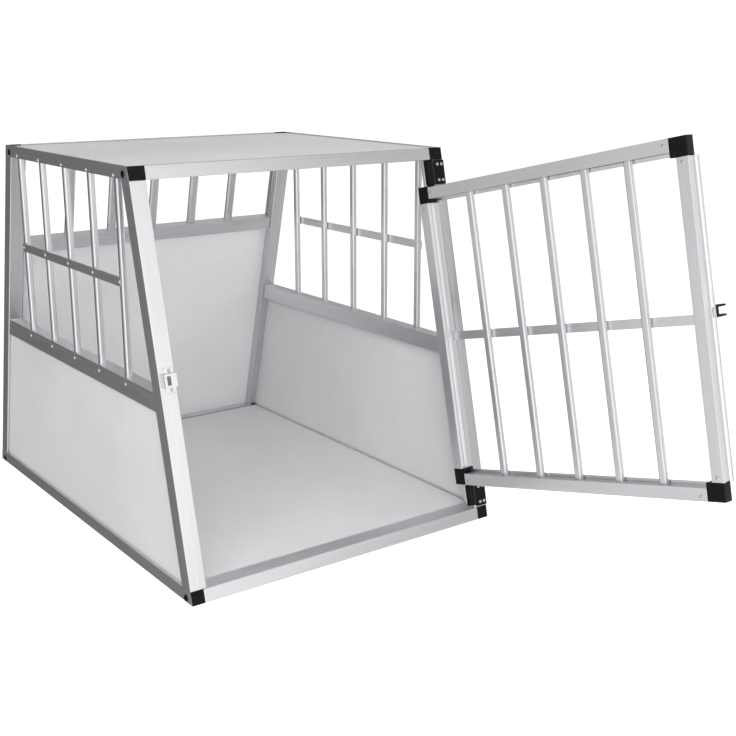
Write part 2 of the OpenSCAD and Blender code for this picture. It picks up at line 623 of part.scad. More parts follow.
module door_rivet_holes() at_door_rivets(true);
// Screws on the inner face of the door, beside each corner
module at_door_screws() on_door() for (p = [
    [hinge_corner_u + 9, door_s1 - 10], [door_w - corner_u - 10, door_s1 - 10],
    [hinge_corner_u + 9, door_s0 + 8], [door_w - corner_u - 11, door_s0 + 8],
    [10, corner_top - corner_s - 10], [10, door_s0 + corner_s + 10],
    [door_w - 11, door_s1 - corner_s - 8], [door_w - 11, door_s0 + corner_s + 8]])
  translate([door_x1 - p[0], p[1], door_n0]) rotate([180, 0, 0]) children();
module door_screw_holes() at_door_screws() translate([0, 0, -9]) cylinder(r = 1.8, h = 12);

// Latch
module housing() on_door() difference() {
  door_box(housing_u0, housing_u1, latch_s - housing_h / 2, latch_s + housing_h / 2, door_n0 + door_t,
    door_n0 + door_t + housing_t);
  // room for the stalk through the whole of its travel
  door_box(stalk_u - run, stalk_end, latch_s - 3 - run, latch_s + 3 + run, door_n0 + door_t - 5,
    door_n0 + door_t + housing_t + 5);
  at_latch_screws() translate([0, 0, -20]) cylinder(r = 1.9, h = 40);
}
module at_latch_screws() for (ds = [-16, 16]) translate([door_x1 - door_w + 13, latch_s + ds, door_n0 + door_t])
  children();
module bolt() on_door() {
  door_box(bolt_u0, bolt_u1, latch_s - bolt_h / 2, latch_s + bolt_h / 2, bolt_n, bolt_n + bolt_t);
  door_box(stalk_u, stalk_u + stalk_w, latch_s - 3, latch_s + 3, bolt_n + bolt_t - 1,
    door_n0 + door_t + housing_t + 0.5);
}
module pull() on_door() {
  n = door_n0 + door_t + housing_t + 0.5;
  door_box(pull_u0, pull_u1, latch_s - pull_h / 2, latch_s + pull_h / 2, n, n + pull_base);
  for (s = [latch_s - pull_h / 2, latch_s + pull_h / 2 - pull_wall])
    door_box(pull_u0, pull_u1, s, s + pull_wall, n + pull_base - 0.1, n + pull_base + pull_arm);
}

alu = "#c9cbcc";
dark = "#1d1e20";
board_grey = "#c4c4c6";

module side_rail_bottom_left() color(alu) on_left() side_rail_bottom();
module side_rail_bottom_right() color(alu) on_right() side_rail_bottom();
module side_rail_top_left() color(alu) on_left() side_rail_top();
module side_rail_top_right() color(alu) on_right() side_rail_top();
module post_front_left() color(alu) difference() {
  on_left() post_at(true);
  on_front() at_keeper_screws() translate([0, 0, -10]) cylinder(r = 1.9, h = 12);
}
module post_front_right() color(alu) difference() {
  on_right() post_at(true);
  on_front() for (s = [hinge_up_s, hinge_low_s]) at_hinge_screws(s) translate([0, 0, -12]) cylinder(r = 1.9, h = 14);
}
module post_rear_left() color(alu) on_left() post_at(false);
module post_rear_right() color(alu) on_right() post_at(false);
module front_rail_bottom() color(alu) cross_rail_bottom(true);
module front_rail_top() color(alu) cross_rail_top(true);
module rear_rail_bottom() color(alu) cross_rail_bottom(false);
module rear_rail_top() color(alu) cross_rail_top(false);
module mid_rail_left() color(alu) on_left() mid_rail_side();
module mid_rail_right() color(alu) on_right() mid_rail_side();
module mid_rail_rear() color(alu) mid_rail_back();
module floor_board() color(board_grey) floor_panel();
module roof_board() color(board_grey) roof_panel();
module side_board_left() color(board_grey) on_left() side_panel();
module side_board_right() color(board_grey) on_right() side_panel();
module rear_board() color(board_grey) rear_panel();
module bars_left() color(alu) on_left() side_bars();
module bars_right() color(alu) on_right() side_bars();
module bars_rear() color(alu) rear_bars();
module strip_left() color(alu) on_left() side_strip();
module strip_right() color(alu) on_right() side_strip();
module rivets_left() color("white") on_left() at_side_rivets(false);
module rivets_right() color("white") on_right() at_side_rivets(false);
module rivets_rear() color("white") at_rear_rivets(false);
module end_caps_top() color(dark) for (front = [true, false]) {
  on_left() end_cap_top(front);
  on_right() end_cap_top(front);
}
module end_caps_bottom() color(dark) for (front = [true, false]) {
  on_left() end_cap_bottom(front);
  on_right() end_cap_bottom(front);
}
module corner_bolts() color(dark) {
  on_left() at_corner_bolts() corner_bolt();
  on_right() at_corner_bolts() corner_bolt();
}
module frame_screws() color(alu) for (low = [true, false]) {
  on_left() at_frame_screws(low ? low_bolt_z : high_bolt_z) frame_screw(low);
  on_right() at_frame_screws(low ? low_bolt_z : high_bolt_z) frame_screw(low);
}
module post_keys() color(dark) for (front = [true, false], low = [true, false]) {
  on_left() post_key(front, low);
  on_right() post_key(front, low);
}
module rail_keys() color(dark) for (front = [true, false], low = [true, false]) {
  on_left() rail_key(front, low);
  on_right() rail_key(front, low);
}
module hinge_block_upper() color(dark) hinge_block(hinge_up_s, 0);
module hinge_block_lower() color(dark) hinge_block(hinge_low_s, barrel_short);
module hinge_screws() color("white") on_front() for (s = [hinge_up_s, hinge_low_s])
  at_hinge_screws(s) small_screw(1.8, 3.1, 8.1);
module hinge_pins() color(alu) pins();
module hinge_bushes() color("white") bushes();
module keeper() color(alu) keeper_plate();
module keeper_screws() color("white") on_front() at_keeper_screws()
  translate([0, 0, 1.5]) small_screw(1.8, 3.1, 10);
module door_rail_top() color(alu) door_top();
module door_rail_bottom() color(alu) door_bottom();
module door_stile_hinge() color(alu) door_hinge_stile();
module door_stile_free() color(alu) door_free_stile();
module door_corner_hinge_top() color(dark) door_corner(false, true);
module door_corner_hinge_bottom() color(dark) door_corner(false, false);
module door_corner_free_top() color(dark) door_corner(true, true);
module door_corner_free_bottom() color(dark) door_corner(true, false);
module door_bars() color(alu) door_bar_set();
module door_strip() color(alu) cross_strip();
module door_rivets() color("white") at_door_rivets(false);
module door_screws() color("white") at_door_screws() small_screw(1.7, 2.8, 8);
module latch_housing() color(alu) housing();
module latch_screws() color("white") on_door() at_latch_screws()
  translate([0, 0, housing_t]) small_screw(1.8, 3.1, 14);
module latch_bolt() color(alu) bolt();
module latch_pull() color(dark) pull();

side_rail_bottom_left();
side_rail_bottom_right();
side_rail_top_left();
side_rail_top_right();
post_front_left();
post_front_right();
post_rear_left();
post_rear_right();
front_rail_bottom();
front_rail_top();
rear_rail_bottom();
rear_rail_top();
mid_rail_left();
mid_rail_right();
mid_rail_rear();
floor_board();
roof_board();
side_board_left();
side_board_right();
rear_board();
bars_left();
bars_right();
bars_rear();
strip_left();
strip_right();
rivets_left();
rivets_right();
rivets_rear();
end_caps_top();
end_caps_bottom();
corner_bolts();
frame_screws();
post_keys();
rail_keys();
hinge_block_upper();
hinge_block_lower();
hinge_screws();
hinge_pins();
hinge_bushes();
keeper();
keeper_screws();
door_rail_top();
door_rail_bottom();
door_stile_hinge();
door_stile_free();
door_corner_hinge_top();
door_corner_hinge_bottom();
door_corner_free_top();
door_corner_free_bottom();
door_bars();
door_strip();
door_rivets();
door_screws();
latch_housing();
latch_screws();
latch_bolt();
latch_pull();
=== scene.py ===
import bpy
import json
import math
import numpy as np
from mathutils import Matrix, Vector


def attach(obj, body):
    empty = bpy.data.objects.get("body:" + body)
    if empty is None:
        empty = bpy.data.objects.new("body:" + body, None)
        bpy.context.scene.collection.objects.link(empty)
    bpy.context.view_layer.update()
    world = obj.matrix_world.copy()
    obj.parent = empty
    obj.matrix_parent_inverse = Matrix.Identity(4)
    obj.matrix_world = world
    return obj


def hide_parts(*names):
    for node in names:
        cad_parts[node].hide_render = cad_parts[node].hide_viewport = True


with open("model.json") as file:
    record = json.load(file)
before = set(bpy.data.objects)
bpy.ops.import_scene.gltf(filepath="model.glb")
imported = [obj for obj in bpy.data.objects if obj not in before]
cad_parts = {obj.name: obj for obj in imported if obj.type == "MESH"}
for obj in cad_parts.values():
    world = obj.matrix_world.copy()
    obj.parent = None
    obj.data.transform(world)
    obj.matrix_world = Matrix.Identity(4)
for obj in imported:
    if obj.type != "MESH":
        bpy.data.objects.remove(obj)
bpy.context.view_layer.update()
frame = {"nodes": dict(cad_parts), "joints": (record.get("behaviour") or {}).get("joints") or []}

print("frame loaded:", len(frame["nodes"]), "nodes")


# directions of the crate, all at rest
rearLeanDegrees = 14.78                                # the rear posts lean towards the front
hinge = next(j for j in frame["joints"] if j["name"] == "door_hinge")
slide = next(j for j in frame["joints"] if j["name"] == "latch_slide")
upFront = Vector(hinge["axis"]).normalized()           # up the slope of the front
outFront = Vector((0, -upFront.z, upFront.y))          # straight out of the front
rearLean = math.radians(rearLeanDegrees)
upRear = Vector((0, -math.sin(rearLean), math.cos(rearLean)))
outRear = Vector((0, math.cos(rearLean), math.sin(rearLean)))
doorWide = Vector(slide["axis"]).normalized()          # from the hinge edge to the free edge
doorOut = upFront.cross(doorWide).normalized()         # out of the door's outer face
acrossX, alongY, upright = Vector((1, 0, 0)), Vector((0, 1, 0)), Vector((0, 0, 1))
mm = 0.001


# small tools
def hexColor(code):
    channels = [int(code[i:i + 2], 16) / 255 for i in (1, 3, 5)]
    return [c / 12.92 if c <= 0.04045 else ((c + 0.055) / 1.055) ** 2.4 for c in channels] + [1.0]


def addNode(tree, kind, settings=None, inputs=None):
    node = tree.nodes.new(kind)
    for key, value in (settings or {}).items():
        setattr(node, key, value)
    for key, value in (inputs or {}).items():
        if isinstance(value, bpy.types.NodeSocket):
            tree.links.new(value, node.inputs[key])
        else:
            node.inputs[key].default_value = value
    return node


def newMaterial(name):
    material = bpy.data.materials.new(name)
    material.use_nodes = True
    material.node_tree.nodes.clear()
    return material, material.node_tree


def closeMaterial(tree, shader):
    addNode(tree, "ShaderNodeOutputMaterial", inputs={"Surface": shader.outputs["BSDF"]})


def setRamp(node, stops):
    ramp = node.color_ramp
    while len(ramp.elements) < len(stops):
        ramp.elements.new(0.5)
    for element, (place, color) in zip(ramp.elements, stops):
        element.position = place
        element.color = color
    return node


def onlyThis(piece):
    if bpy.context.object and bpy.context.object.mode != "OBJECT":
        bpy.ops.object.mode_set(mode="OBJECT")
    bpy.ops.object.select_all(action="DESELECT")
    piece.select_set(True)
    bpy.context.view_layer.objects.active = piece


# materials: "ramp" says where the pattern reaches the dark tone and where the light one,
# and noise mostly keeps between these two values
noiseLow, noiseHigh = 0.3, 0.7
aluminiumValues = {"light": "#dddddf", "dark": "#d5d5d8", "ramp": (0.32, 0.68), "smooth": 0.27, "rough": 0.34,
                   "lineMm": 1.1, "lineLongMm": 140, "lineShare": 0.45,
                   "cloudMm": 20, "cloudLongMm": 250, "cloudShare": 0.55,
                   "bump": 0.025, "bumpMm": 0.4, "anisotropy": 0.35}


def anodisedAluminium(name, values):
    # anodised aluminium extrusion: satin silver with fine die lines that run along the profile
    material, tree = newMaterial(name)
    grain = addNode(tree, "ShaderNodeAttribute", {"attribute_name": "grainMm"})
    stretch = addNode(tree, "ShaderNodeMapping", inputs={
        "Vector": grain.outputs["Vector"],
        "Scale": (1 / values["lineLongMm"], 1 / values["lineMm"], 1 / values["lineMm"])})
    lines = addNode(tree, "ShaderNodeTexNoise", inputs={
        "Vector": stretch.outputs["Vector"], "Scale": 1.0, "Detail": 3.0, "Roughness": 0.6})
    wide = addNode(tree, "ShaderNodeMapping", inputs={
        "Vector": grain.outputs["Vector"],
        "Scale": (1 / values["cloudLongMm"], 1 / values["cloudMm"], 1 / values["cloudMm"])})
    cloud = addNode(tree, "ShaderNodeTexNoise", inputs={
        "Vector": wide.outputs["Vector"], "Scale": 1.0, "Detail": 2.0})
    linePart = addNode(tree, "ShaderNodeMath", {"operation": "MULTIPLY"}, {
        0: lines.outputs["Fac"], 1: values["lineShare"]})
    pattern = addNode(tree, "ShaderNodeMath", {"operation": "MULTIPLY_ADD", "use_clamp": True}, {
        0: cloud.outputs["Fac"], 1: values["cloudShare"], 2: linePart.outputs["Value"]})
    darkAt, lightAt = values["ramp"]
    tone = setRamp(addNode(tree, "ShaderNodeValToRGB", inputs={"Fac": pattern.outputs["Value"]}),
                   [(darkAt, hexColor(values["dark"])), (lightAt, hexColor(values["light"]))])
    satin = addNode(tree, "ShaderNodeMapRange", inputs={
        "Value": lines.outputs["Fac"], "From Min": noiseLow, "From Max": noiseHigh,
        "To Min": values["smooth"], "To Max": values["rough"]})
    relief = addNode(tree, "ShaderNodeBump", inputs={
        "Height": lines.outputs["Fac"], "Strength": values["bump"], "Distance": values["bumpMm"] * mm})
    shader = addNode(tree, "ShaderNodeBsdfPrincipled", inputs={
        "Base Color": tone.outputs["Color"], "Metallic": 1.0, "Roughness": satin.outputs["Result"],
        "Normal": relief.outputs["Normal"], "Anisotropic": values["anisotropy"]})
    closeMaterial(tree, shader)
    return material


boardValues = {"light": "#d9d9da", "dark": "#cfcfd1", "ramp": (0.3, 0.7), "smooth": 0.42, "rough": 0.56,
               "peelMm": 1.6, "patchMm": 200, "patchShare": 0.7, "speckMm": 2.381, "speckShare": 0.3,
               "bump": 0.05, "bumpMm": 0.5, "ior": 1.5}


def laminatedBoard(name, values):
    # melamine laminate on fibreboard: even light grey with a faint orange peel and a dull sheen
    material, tree = newMaterial(name)
    place = addNode(tree, "ShaderNodeTexCoord")
    peel = addNode(tree, "ShaderNodeTexNoise", inputs={
        "Vector": place.outputs["Object"], "Scale": 1000 / values["peelMm"], "Detail": 2.0})
    patches = addNode(tree, "ShaderNodeTexNoise", inputs={
        "Vector": place.outputs["Object"], "Scale": 1000 / values["patchMm"], "Detail": 4.0,
        "Roughness": 0.6})
    specks = addNode(tree, "ShaderNodeTexNoise", inputs={
        "Vector": place.outputs["Object"], "Scale": 1000 / values["speckMm"], "Detail": 1.0})
    speckPart = addNode(tree, "ShaderNodeMath", {"operation": "MULTIPLY"}, {
        0: specks.outputs["Fac"], 1: values["speckShare"]})
    pattern = addNode(tree, "ShaderNodeMath", {"operation": "MULTIPLY_ADD", "use_clamp": True}, {
        0: patches.outputs["Fac"], 1: values["patchShare"], 2: speckPart.outputs["Value"]})
    darkAt, lightAt = values["ramp"]
    tone = setRamp(addNode(tree, "ShaderNodeValToRGB", inputs={"Fac": pattern.outputs["Value"]}),
                   [(darkAt, hexColor(values["dark"])), (lightAt, hexColor(values["light"]))])
    sheen = addNode(tree, "ShaderNodeMapRange", inputs={
        "Value": patches.outputs["Fac"], "From Min": noiseLow, "From Max": noiseHigh,
        "To Min": values["smooth"], "To Max": values["rough"]})
    relief = addNode(tree, "ShaderNodeBump", inputs={
        "Height": peel.outputs["Fac"], "Strength": values["bump"], "Distance": values["bumpMm"] * mm})
    shader = addNode(tree, "ShaderNodeBsdfPrincipled", inputs={
        "Base Color": tone.outputs["Color"], "Roughness": sheen.outputs["Result"],
        "Normal": relief.outputs["Normal"], "IOR": values["ior"]})
    closeMaterial(tree, shader)
    return material


nylonValues = {"light": "#0e0e10", "dark": "#070708", "ramp": (0.35, 0.7), "smooth": 0.34, "rough": 0.5,
               "grainMm": 1.1, "patchMm": 16.667, "bump": 0.16, "bumpMm": 0.4, "ior": 1.53, "specular": 0.12}


def mouldedNylon(name, values):
    # glass filled nylon from a spark-eroded mould: near black, a fine grain and a soft gloss
    material, tree = newMaterial(name)
    place = addNode(tree, "ShaderNodeTexCoord")
    grain = addNode(tree, "ShaderNodeTexVoronoi", {"feature": "SMOOTH_F1"}, {
        "Vector": place.outputs["Object"], "Scale": 1000 / values["grainMm"], "Smoothness": 0.6})
    patches = addNode(tree, "ShaderNodeTexNoise", inputs={
        "Vector": place.outputs["Object"], "Scale": 1000 / values["patchMm"], "Detail": 4.0})
    darkAt, lightAt = values["ramp"]
    tone = setRamp(addNode(tree, "ShaderNodeValToRGB", inputs={"Fac": patches.outputs["Fac"]}),
                   [(darkAt, hexColor(values["dark"])), (lightAt, hexColor(values["light"]))])
    sheen = addNode(tree, "ShaderNodeMapRange", inputs={
        "Value": patches.outputs["Fac"], "From Min": noiseLow, "From Max": noiseHigh,
        "To Min": values["smooth"], "To Max": values["rough"]})
    relief = addNode(tree, "ShaderNodeBump", inputs={
        "Height": grain.outputs["Distance"], "Strength": values["bump"], "Distance": values["bumpMm"] * mm})
    shader = addNode(tree, "ShaderNodeBsdfPrincipled", inputs={
        "Base Color": tone.outputs["Color"], "Roughness": sheen.outputs["Result"],
        "Normal": relief.outputs["Normal"], "IOR": values["ior"], "Specular IOR Level": values["specular"]})
    closeMaterial(tree, shader)
    return material


brightValues = {
    "rivet": {"light": "#e9e9ea", "dark": "#d2d3d5", "smooth": 0.2, "rough": 0.34, "scratchMm": 1.5},
    "zinc": {"light": "#dcdde0", "dark": "#b9babd", "smooth": 0.24, "rough": 0.4, "scratchMm": 1.8},
    "stainless": {"light": "#e4e4e4", "dark": "#cbccce", "smooth": 0.22, "rough": 0.36, "scratchMm": 2.5}}
scratchValues = {"ramp": (0.35, 0.65), "bend": 1.2, "bump": 0.08, "bumpMm": 0.2}      # the same on all three


def brightMetal(name, values):
    # small bright metal parts: a light polish with short random scratches
    material, tree = newMaterial(name)
    place = addNode(tree, "ShaderNodeTexCoord")
    scratch = addNode(tree, "ShaderNodeTexNoise", inputs={
        "Vector": place.outputs["Object"], "Scale": 1000 / values["scratchMm"], "Detail": 5.0,
        "Distortion": scratchValues["bend"]})
    darkAt, lightAt = scratchValues["ramp"]
    tone = setRamp(addNode(tree, "ShaderNodeValToRGB", inputs={"Fac": scratch.outputs["Fac"]}),
                   [(darkAt, hexColor(values["dark"])), (lightAt, hexColor(values["light"]))])
    sheen = addNode(tree, "ShaderNodeMapRange", inputs={
        "Value": scratch.outputs["Fac"], "From Min": noiseLow, "From Max": noiseHigh,
        "To Min": values["smooth"], "To Max": values["rough"]})
    relief = addNode(tree, "ShaderNodeBump", inputs={
        "Height": scratch.outputs["Fac"], "Strength": scratchValues["bump"],
        "Distance": scratchValues["bumpMm"] * mm})
    shader = addNode(tree, "ShaderNodeBsdfPrincipled", inputs={
        "Base Color": tone.outputs["Color"], "Metallic": 1.0, "Roughness": sheen.outputs["Result"],
        "Normal": relief.outputs["Normal"]})
    closeMaterial(tree, shader)
    return material


aluminium = anodisedAluminium("anodised aluminium extrusion", aluminiumValues)
boardGrey = laminatedBoard("grey melamine laminate", boardValues)
nylon = mouldedNylon("moulded black nylon", nylonValues)
rivetMetal = brightMetal("bright blind rivet aluminium", brightValues["rivet"])
zinc = brightMetal("clear zinc plated steel", brightValues["zinc"])
stainless = brightMetal("brushed stainless sheet", brightValues["stainless"])
print("materials made")


# profiles, boards and moulded pieces: merged copies of the CAD shapes with broken edges
def grainAttribute(piece, along):
    # distance along the profile first, then the two directions across it, in millimetres
    side = along.cross(acrossX if abs(along.x) < 0.7 else upright).normalized()
    third = along.cross(side)
    basis = np.array([along, side, third])
    mesh = piece.data
    places = np.empty(len(mesh.vertices) * 3, np.float32)
    mesh.vertices.foreach_get("co", places)
    mesh.attributes.new("grainMm", "FLOAT_VECTOR", "POINT")
    mesh.attributes["grainMm"].data.foreach_set(
        "vector", (places.reshape(-1, 3) @ basis.T * 1000).astype(np.float32).ravel())


edgeValues = {"mergeMm": 0.004, "flatDegrees": 0.6, "hardDegrees": 35, "smoothDegrees": 50, "faceWeight": 80}


def brokenEdges(node, body, material, slotName, edgeMm, along=None, segments=2, shortestMm=6.0):
    # edges shorter than shortestMm stay sharp, so that the rims of small holes are left alone
    piece = bpy.data.objects.new(node + "_shape", frame["nodes"][node].data.copy())
    bpy.context.scene.collection.objects.link(piece)
    onlyThis(piece)
    bpy.ops.object.mode_set(mode="EDIT")
    bpy.ops.mesh.select_all(action="SELECT")
    bpy.ops.mesh.remove_doubles(threshold=edgeValues["mergeMm"] * mm)
    bpy.ops.mesh.dissolve_limited(angle_limit=math.radians(edgeValues["flatDegrees"]))
    bpy.ops.mesh.normals_make_consistent(inside=False)
    bpy.ops.object.mode_set(mode="OBJECT")
    mesh = piece.data
    if mesh.has_custom_normals:
        bpy.ops.mesh.customdata_custom_splitnormals_clear()
    normalsAt = {}
    for polygon in mesh.polygons:
        for key in polygon.edge_keys:
            normalsAt.setdefault(key, []).append(polygon.normal)
    weights = (mesh.attributes.get("bevel_weight_edge")
               or mesh.attributes.new("bevel_weight_edge", "FLOAT", "EDGE"))
    hardAngle = math.radians(edgeValues["hardDegrees"])
    for edge in mesh.edges:
        a, b = (mesh.vertices[i].co for i in edge.vertices)
        normals = normalsAt.get(tuple(sorted(edge.vertices)), [])
        hard = len(normals) == 2 and normals[0].angle(normals[1], 0) > hardAngle
        weights.data[edge.index].value = 1.0 if hard and (a - b).length > shortestMm / 1000 else 0.0
    bevel = piece.modifiers.new("broken edges", "BEVEL")
    bevel.limit_method = "WEIGHT"
    bevel.width = edgeMm / 1000
    bevel.segments = segments
    bevel.use_clamp_overlap = False
    bpy.ops.object.modifier_apply(modifier=bevel.name)
    bpy.ops.object.shade_smooth_by_angle(angle=math.radians(edgeValues["smoothDegrees"]))
    even = piece.modifiers.new("even shading", "WEIGHTED_NORMAL")
    even.keep_sharp = True
    even.weight = edgeValues["faceWeight"]
    bpy.ops.object.modifier_apply(modifier=even.name)
    piece.data.materials.clear()
    piece.data.materials.append(material)
    if along is not None:
        grainAttribute(piece, along)
    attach(piece, body)
    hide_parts(node)


# each profile has the kind of its edge, in millimetres below, and the way it runs
profileEdges = {"rail": 0.9, "post": 1.2, "bar": 0.35, "strip": 0.4, "door": 1.0}
sideProfiles = {"side_rail_bottom": ("rail", alongY), "side_rail_top": ("rail", alongY),
                "post_front": ("post", upFront), "post_rear": ("post", upRear), "mid_rail": ("rail", alongY),
                "bars": ("bar", upright), "strip": ("strip", alongY)}
crossProfiles = {"front_rail_bottom": ("rail", acrossX), "front_rail_top": ("rail", acrossX),
                 "rear_rail_bottom": ("rail", acrossX), "rear_rail_top": ("rail", acrossX),
                 "mid_rail_rear": ("rail", acrossX), "bars_rear": ("bar", upRear)}
doorProfiles = {"door_rail_top": ("door", doorWide), "door_rail_bottom": ("door", doorWide),
                "door_strip": ("strip", doorWide), "door_stile_hinge": ("door", upFront),
                "door_stile_free": ("door", upFront), "door_bars": ("bar", upFront)}
for side in ("left", "right"):
    for profile, (kind, along) in sideProfiles.items():
        brokenEdges(f"{profile}_{side}", "crate", aluminium, "profile", profileEdges[kind], along)
for profile, (kind, along) in crossProfiles.items():
    brokenEdges(profile, "crate", aluminium, "profile", profileEdges[kind], along)
for profile, (kind, along) in doorProfiles.items():
    brokenEdges(profile, "door", aluminium, "profile", profileEdges[kind], along)
print("profiles shaped")

boardEdges = {"edgeMm": 0.5, "segments": 1}
for node in ("floor_board", "roof_board", "side_board_left", "side_board_right", "rear_board"):
    brokenEdges(node, "crate", boardGrey, "board", **boardEdges)
print("boards shaped")

capEdges = {"edgeMm": 0.5, "shortestMm": 2.0}
hingeEdges = {"edgeMm": 0.9, "shortestMm": 2.0}
doorCornerEdges = {"edgeMm": 1.3, "segments": 3, "shortestMm": 3.5}
pullEdges = {"edgeMm": 0.7, "segments": 3, "shortestMm": 2.0}
keeperEdges = {"edgeMm": 0.5, "segments": 3, "shortestMm": 1.2}
housingEdges = {"edgeMm": 0.35, "segments": 3, "shortestMm": 3.0}      # less than the rim of its slot
for node in ("end_caps_top", "end_caps_bottom"):
    brokenEdges(node, "crate", nylon, "black_nylon", **capEdges)
for node in ("hinge_block_upper", "hinge_block_lower"):
    brokenEdges(node, "crate", nylon, "black_nylon", **hingeEdges)
for corner in ("hinge_top", "hinge_bottom", "free_top", "free_bottom"):
    brokenEdges(f"door_corner_{corner}", "door", nylon, "black_nylon", **doorCornerEdges)
brokenEdges("latch_pull", "latch", nylon, "black_nylon", **pullEdges)
brokenEdges("keeper", "crate", stainless, "bright_plate", **keeperEdges)
brokenEdges("latch_housing", "door", stainless, "bright_plate", **housingEdges)
print("corners, hinges and latch shaped")


# rivets and screws
def solidsOf(node):
    # the separate solids of a CAD node, each as an array of corners, which meet to a micrometre
    mesh = frame["nodes"][node].data
    corners = [tuple(round(c, 6) for c in v.co) for v in mesh.vertices]
    parent = {}

    def root(key):
        while parent.setdefault(key, key) != key:
            parent[key] = parent[parent[key]]
            key = parent[key]
        return key

    for polygon in mesh.polygons:
        first = root(corners[polygon.vertices[0]])
        for index in polygon.vertices[1:]:
            parent[root(corners[index])] = first
    groups = {}
    for corner in set(corners):
        groups.setdefault(root(corner), []).append(corner)
    return [np.array(groups[key]) for key in sorted(groups)]


def headPlaces(node, axis):
    # where each head's top lies and which way it points: along the axis, or out of its own side
    found = []
    for corners in solidsOf(node):
        way = axis if axis is not None else Vector((math.copysign(1, corners[:, 0].mean()), 0, 0))
        heights = corners @ np.array(way)
        flat = corners - np.outer(heights, np.array(way))
        middle = Vector((flat.min(axis=0) + flat.max(axis=0)) / 2)
        found.append((middle + way * float(heights.max()), way))
    return found


def placeCopies(model, node, body, axis=None):
    for number, (top, way) in enumerate(headPlaces(node, axis)):
        mesh = model.data.copy()
        turn = way.to_track_quat("Z", "Y").to_matrix().to_4x4()
        mesh.transform(Matrix.Translation(top) @ turn)
        piece = bpy.data.objects.new(f"{node}_{number}", mesh)
        bpy.context.scene.collection.objects.link(piece)
        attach(piece, body)
        if number == 0:
            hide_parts(node)


facing = 0.9      # a face counts as top or underside when its normal's share along the axis is above this


def selectTop(piece):
    # only the highest face across the axis
    bpy.ops.object.mode_set(mode="OBJECT")
    mesh = piece.data
    highest = max(p.center.z for p in mesh.polygons if p.normal.z > facing)
    for vertex in mesh.vertices:
        vertex.select = False
    for edge in mesh.edges:
        edge.select = False
    for polygon in mesh.polygons:
        polygon.select = polygon.normal.z > facing and abs(polygon.center.z - highest) < 1e-6
    bpy.ops.object.mode_set(mode="EDIT")
    bpy.ops.mesh.select_mode(type="FACE")


def chosenFace(piece):
    return [p for p in piece.data.polygons if p.select][0]


def turnedHead(name, material, values):
    # a head turned in rings from its rim to its crown, with a hollow in the middle, top at z = 0
    radius, height = values["radiusMm"] * mm, values["heightMm"] * mm
    rim = values["rimShare"]
    bpy.ops.object.select_all(action="DESELECT")
    bpy.ops.mesh.primitive_cylinder_add(vertices=values["sides"], radius=radius, depth=height * rim,
                                        location=(0, 0, -height * (1 - rim / 2)))
    piece = bpy.context.object
    piece.name = name
    bpy.ops.object.transform_apply(location=True, rotation=True, scale=True)
    for ringIn, ringUp in values["ringsMm"]:
        selectTop(piece)
        bpy.ops.mesh.inset(thickness=ringIn * mm, depth=0)
        bpy.ops.transform.translate(value=(0, 0, ringUp * mm))
    selectTop(piece)
    bpy.ops.object.mode_set(mode="OBJECT")
    reach = max(piece.data.vertices[i].co.xy.length for i in chosenFace(piece).vertices)
    bpy.ops.object.mode_set(mode="EDIT")
    bpy.ops.mesh.inset(thickness=reach - values["hollowMm"] * mm, depth=0)
    if "lobeShare" in values:
        # every second pair of corners is drawn in, which makes the lobes of the drive
        bpy.ops.object.mode_set(mode="OBJECT")
        for count, index in enumerate(chosenFace(piece).vertices):
            if (count // 2) % 2:
                piece.data.vertices[index].co.xy *= values["lobeShare"]
        bpy.ops.object.mode_set(mode="EDIT")
    bpy.ops.mesh.extrude_region_move(TRANSFORM_OT_translate={"value": (0, 0, -values["deepMm"] * mm)})
    bpy.ops.object.mode_set(mode="OBJECT")
    # the shank grows from the underside
    for polygon in piece.data.polygons:
        polygon.select = polygon.normal.z < -facing and polygon.center.z < -height * 0.9
    bpy.ops.object.mode_set(mode="EDIT")
    bpy.ops.mesh.inset(thickness=radius - values["shankMm"] * mm, depth=0)
    bpy.ops.mesh.extrude_region_move(TRANSFORM_OT_translate={"value": (0, 0, -values["longMm"] * mm)})
    bpy.ops.object.mode_set(mode="OBJECT")
    piece.data.materials.clear()
    piece.data.materials.append(material)
    onlyThis(piece)
    bpy.ops.object.shade_smooth_by_angle(angle=math.radians(values["smoothDegrees"]))
    return piece


# radii of head, hollow and shank; rings give how far in and how far up each one goes
rivetValues = {"radiusMm": 3.3, "heightMm": 1.4, "rimShare": 0.3,
               "ringsMm": [(0.35, 0.42), (0.6, 0.33), (0.6, 0.23)],
               "hollowMm": 0.8, "deepMm": 0.5, "shankMm": 1.6, "longMm": 5.5, "sides": 24,
               "smoothDegrees": 38}
screwValues = {"radiusMm": 3.1, "heightMm": 1.0, "rimShare": 0.3, "ringsMm": [(0.25, 0.4), (0.5, 0.3)],
               "hollowMm": 1.45, "deepMm": 0.8, "shankMm": 1.7, "longMm": 7, "sides": 24, "smoothDegrees": 38,
               "lobeShare": 0.62}
boltValues = {"radiusMm": 6.2, "heightMm": 1.2, "rimShare": 0.3, "ringsMm": [(0.4, 0.5), (0.9, 0.34)],
              "hollowMm": 2.4, "deepMm": 0.7, "shankMm": 2.5, "longMm": 40, "sides": 30, "smoothDegrees": 38}
rivetModel = turnedHead("rivetModel", rivetMetal, rivetValues)
screwModel = turnedHead("screwModel", zinc, screwValues)
boltModel = turnedHead("boltModel", nylon, boltValues)
placeCopies(rivetModel, "rivets_left", "crate", -acrossX)
placeCopies(rivetModel, "rivets_right", "crate", acrossX)
placeCopies(rivetModel, "rivets_rear", "crate", outRear)
placeCopies(rivetModel, "door_rivets", "door", doorOut)
placeCopies(screwModel, "hinge_screws", "crate", outFront)
placeCopies(screwModel, "keeper_screws", "crate", outFront)
placeCopies(screwModel, "door_screws", "door", -doorOut)
